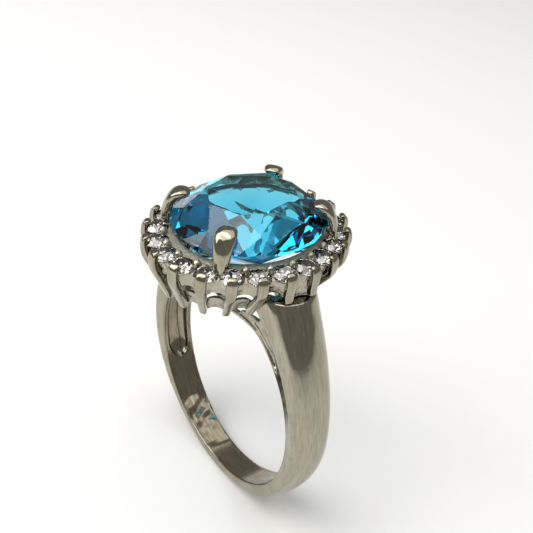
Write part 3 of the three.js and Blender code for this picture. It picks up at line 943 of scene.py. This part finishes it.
class RING_OT_centre_claws(bpy.types.Operator):
    """Model the four broad claws over the centre stone"""

    bl_idname = "ring.centre_claws"
    bl_label = "Centre claws"

    def execute(self, context):
        names = sorted(name for name in frame["nodes"] if name.startswith("centre_claw"))
        for name in names:
            low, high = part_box(name)
            middle = (low + high) / 2
            slot = min(CLAIMED_SLOTS, key=lambda s: (HaloPlace(s).tip * MM - middle).xy.length)
            along, stops = centre_claw_stops(slot)
            claw = claw_body(f"stone_claw_{name[-1]}", stops, along, 0.72)
            add_modifier(claw, "SUBSURF", levels=2, render_levels=2)
            finish_piece(claw, polished_white_gold(), [name])
        return {"FINISHED"}


# ---- Stage -----------------------------------------------------------------------------------------


def studio_world():
    """An even, soft grey room."""
    world = bpy.data.worlds.new("studio")
    world.use_nodes = True
    tree = world.node_tree
    tree.nodes.clear()
    light = add_node(tree, "ShaderNodeBackground", {"Color": hex_colour("#8f8d89"), "Strength": 1.0})
    output = add_node(tree, "ShaderNodeOutputWorld")
    tree.links.new(light.outputs["Background"], output.inputs["Surface"])
    return world


def softbox(name, place, size, radiance, colour):
    """Rectangular studio light aimed at the ring, by how bright its face looks."""
    deselect_all()
    place = Vector(place) * MM
    bpy.ops.object.light_add(type="AREA", location=place)
    lamp = bpy.context.object
    lamp.name = name
    lamp.data.shape = "RECTANGLE"
    lamp.data.size, lamp.data.size_y = size[0] * MM, size[1] * MM
    lamp.data.energy = radiance * math.pi * lamp.data.size * lamp.data.size_y
    lamp.data.color = hex_colour(colour)[:3]
    lamp.rotation_mode = "QUATERNION"
    lamp.rotation_quaternion = (-place).to_track_quat("-Z", "Y")
    return lamp


class RING_OT_stage(bpy.types.Operator):
    """Set the pale floor, the soft lights and the camera"""

    bl_idname = "ring.stage"
    bl_label = "Stage"

    def execute(self, context):
        settings = context.scene.ring_stage
        low, _ = CAD_BOX
        deselect_all()
        bpy.ops.mesh.primitive_grid_add(x_subdivisions=4, y_subdivisions=4, size=3.0,
                                        location=(0, 0, low.z))
        floor = bpy.context.object
        floor.name = "paper_floor"
        bpy.ops.object.transform_apply(location=True, rotation=True, scale=True)
        floor.data.materials.append(studio_paper())
        context.scene.world = studio_world()
        context.scene.view_settings.view_transform = "Standard"
        softbox("overhead", (0, 60, 600), (700, 700), settings.overhead, "#ffffff")
        softbox("key", (-105, -225, 205), (240, 200), settings.key, "#fffdf8")
        softbox("front", (-20, -130, 330), (300, 260), settings.front, "#ffffff")
        self.add_camera(context, settings)
        return {"FINISHED"}

    @staticmethod
    def add_camera(context, settings):
        """Place the camera by its azimuth, elevation and roll about a point on the ring."""
        azimuth, elevation, roll = settings.azimuth, settings.elevation, settings.roll
        back = Vector((math.sin(azimuth) * math.cos(elevation),
                       -math.cos(azimuth) * math.cos(elevation), math.sin(elevation)))
        side = Vector((math.cos(azimuth), math.sin(azimuth), 0))
        right = (Quaternion(back, roll) @ side).normalized()
        up = back.cross(right)
        bpy.ops.object.camera_add()
        camera = bpy.context.object
        camera.name = "camera"
        place = Vector(settings.target) + back * settings.distance
        turn = Matrix((right, up, back)).transposed().to_4x4()
        camera.matrix_world = Matrix.Translation(place) @ turn
        camera.data.sensor_width = 36.0
        camera.data.lens = settings.lens
        camera.data.clip_start = 0.001
        context.scene.camera = camera


# ---- Add-on ----------------------------------------------------------------------------------------


class RingSizes(bpy.types.PropertyGroup):
    """Sizes that a user may change, in millimetres"""

    shoulder_top: bpy.props.FloatProperty(
        name="Shoulder top", description="Height of the shoulders' tops above the hole's centre, mm",
        default=12.41)
    shank_voxel: bpy.props.FloatProperty(
        name="Shank voxel", description="Voxel of the shank's remesh, mm", default=0.1, min=0.06)
    shank_smoothing: bpy.props.IntProperty(
        name="Shank smoothing", description="Polishing passes after the remesh", default=12, min=0)
    diamond_diameter: bpy.props.FloatProperty(
        name="Diamond diameter", description="Diameter of a halo stone, mm", default=1.72, min=1.0)


class RingColours(bpy.types.PropertyGroup):
    """Colours that a user may change"""

    gold_low: bpy.props.FloatVectorProperty(
        name="Gold, low", description="Darker tone of the polished gold", subtype="COLOR",
        min=0, max=1, default=hex_colour("#938e7d")[:3])
    gold_high: bpy.props.FloatVectorProperty(
        name="Gold, high", description="Paler tone of the polished gold", subtype="COLOR",
        min=0, max=1, default=hex_colour("#a9a493")[:3])
    topaz: bpy.props.FloatVectorProperty(
        name="Topaz", description="Colour that the topaz lets through", subtype="COLOR",
        min=0, max=1, default=hex_colour("#00e7f7")[:3])
    diamond: bpy.props.FloatVectorProperty(
        name="Diamond", description="Tint of the halo stones", subtype="COLOR",
        min=0, max=1, default=hex_colour("#d3d1c6")[:3])
    paper: bpy.props.FloatVectorProperty(
        name="Paper", description="Colour of the floor", subtype="COLOR",
        min=0, max=1, default=hex_colour("#f9f9f9")[:3])


class RingStage(bpy.types.PropertyGroup):
    """Camera and light"""

    azimuth: bpy.props.FloatProperty(
        name="Azimuth", description="Camera azimuth from -Y toward +X", subtype="ANGLE",
        default=math.radians(50.23))
    elevation: bpy.props.FloatProperty(
        name="Elevation", description="Camera height above the horizon", subtype="ANGLE",
        default=math.radians(34.42))
    roll: bpy.props.FloatProperty(
        name="Roll", description="Camera roll about its own axis", subtype="ANGLE",
        default=math.radians(7.36))
    distance: bpy.props.FloatProperty(
        name="Distance", description="Camera distance from its target", unit="LENGTH",
        default=0.06277)
    target: bpy.props.FloatVectorProperty(
        name="Target", description="Point the camera looks at", subtype="XYZ", unit="LENGTH",
        default=(-0.001891, 0.003704, 0.008717))
    lens: bpy.props.FloatProperty(
        name="Lens", description="Focal length on a 36 mm sensor, mm", default=52.145)
    overhead: bpy.props.FloatProperty(
        name="Overhead", description="Brightness of the overhead softbox's face", default=1.2, min=0)
    front: bpy.props.FloatProperty(
        name="Front", description="Brightness of the high front softbox's face", default=2.0, min=0)
    key: bpy.props.FloatProperty(
        name="Key", description="Brightness of the key softbox's face", default=3.0, min=0)


class RING_PT_panel(bpy.types.Panel):
    """Lists the ring's pieces and settings"""

    bl_idname = "RING_PT_panel"
    bl_label = "Cocktail ring"
    bl_space_type = "VIEW_3D"
    bl_region_type = "UI"
    bl_category = "Ring"

    def draw(self, context):
        scene = context.scene
        for settings in (scene.ring_sizes, scene.ring_colours, scene.ring_stage):
            for name in settings.bl_rna.properties.keys()[2:]:
                self.layout.prop(settings, name)
        for operator in OPERATORS:
            self.layout.operator(operator.bl_idname)


OPERATORS = (RING_OT_shank, RING_OT_halo_plate, RING_OT_lower_gallery, RING_OT_basket_rail,
             RING_OT_centre_claws, RING_OT_halo_claws, RING_OT_topaz, RING_OT_diamonds,
             RING_OT_stage)
CLASSES = (RingSizes, RingColours, RingStage, *OPERATORS, RING_PT_panel)


def register():
    """Register the add-on's classes and its settings on the scene."""
    for each in CLASSES:
        bpy.utils.register_class(each)
    bpy.types.Scene.ring_sizes = bpy.props.PointerProperty(type=RingSizes)
    bpy.types.Scene.ring_colours = bpy.props.PointerProperty(type=RingColours)
    bpy.types.Scene.ring_stage = bpy.props.PointerProperty(type=RingStage)


def unregister():
    """Remove the settings and the classes."""
    del bpy.types.Scene.ring_stage
    del bpy.types.Scene.ring_colours
    del bpy.types.Scene.ring_sizes
    for each in reversed(CLASSES):
        bpy.utils.unregister_class(each)


def main():
    """Model every piece in order."""
    register()
    bpy.ops.ring.shank()
    bpy.ops.ring.halo_plate()
    bpy.ops.ring.lower_gallery()
    bpy.ops.ring.basket_rail()
    bpy.ops.ring.centre_claws()
    bpy.ops.ring.halo_claws()
    bpy.ops.ring.topaz()
    bpy.ops.ring.diamonds()
    bpy.ops.ring.stage()
    deselect_all()


if __name__ == "__main__":
    main()
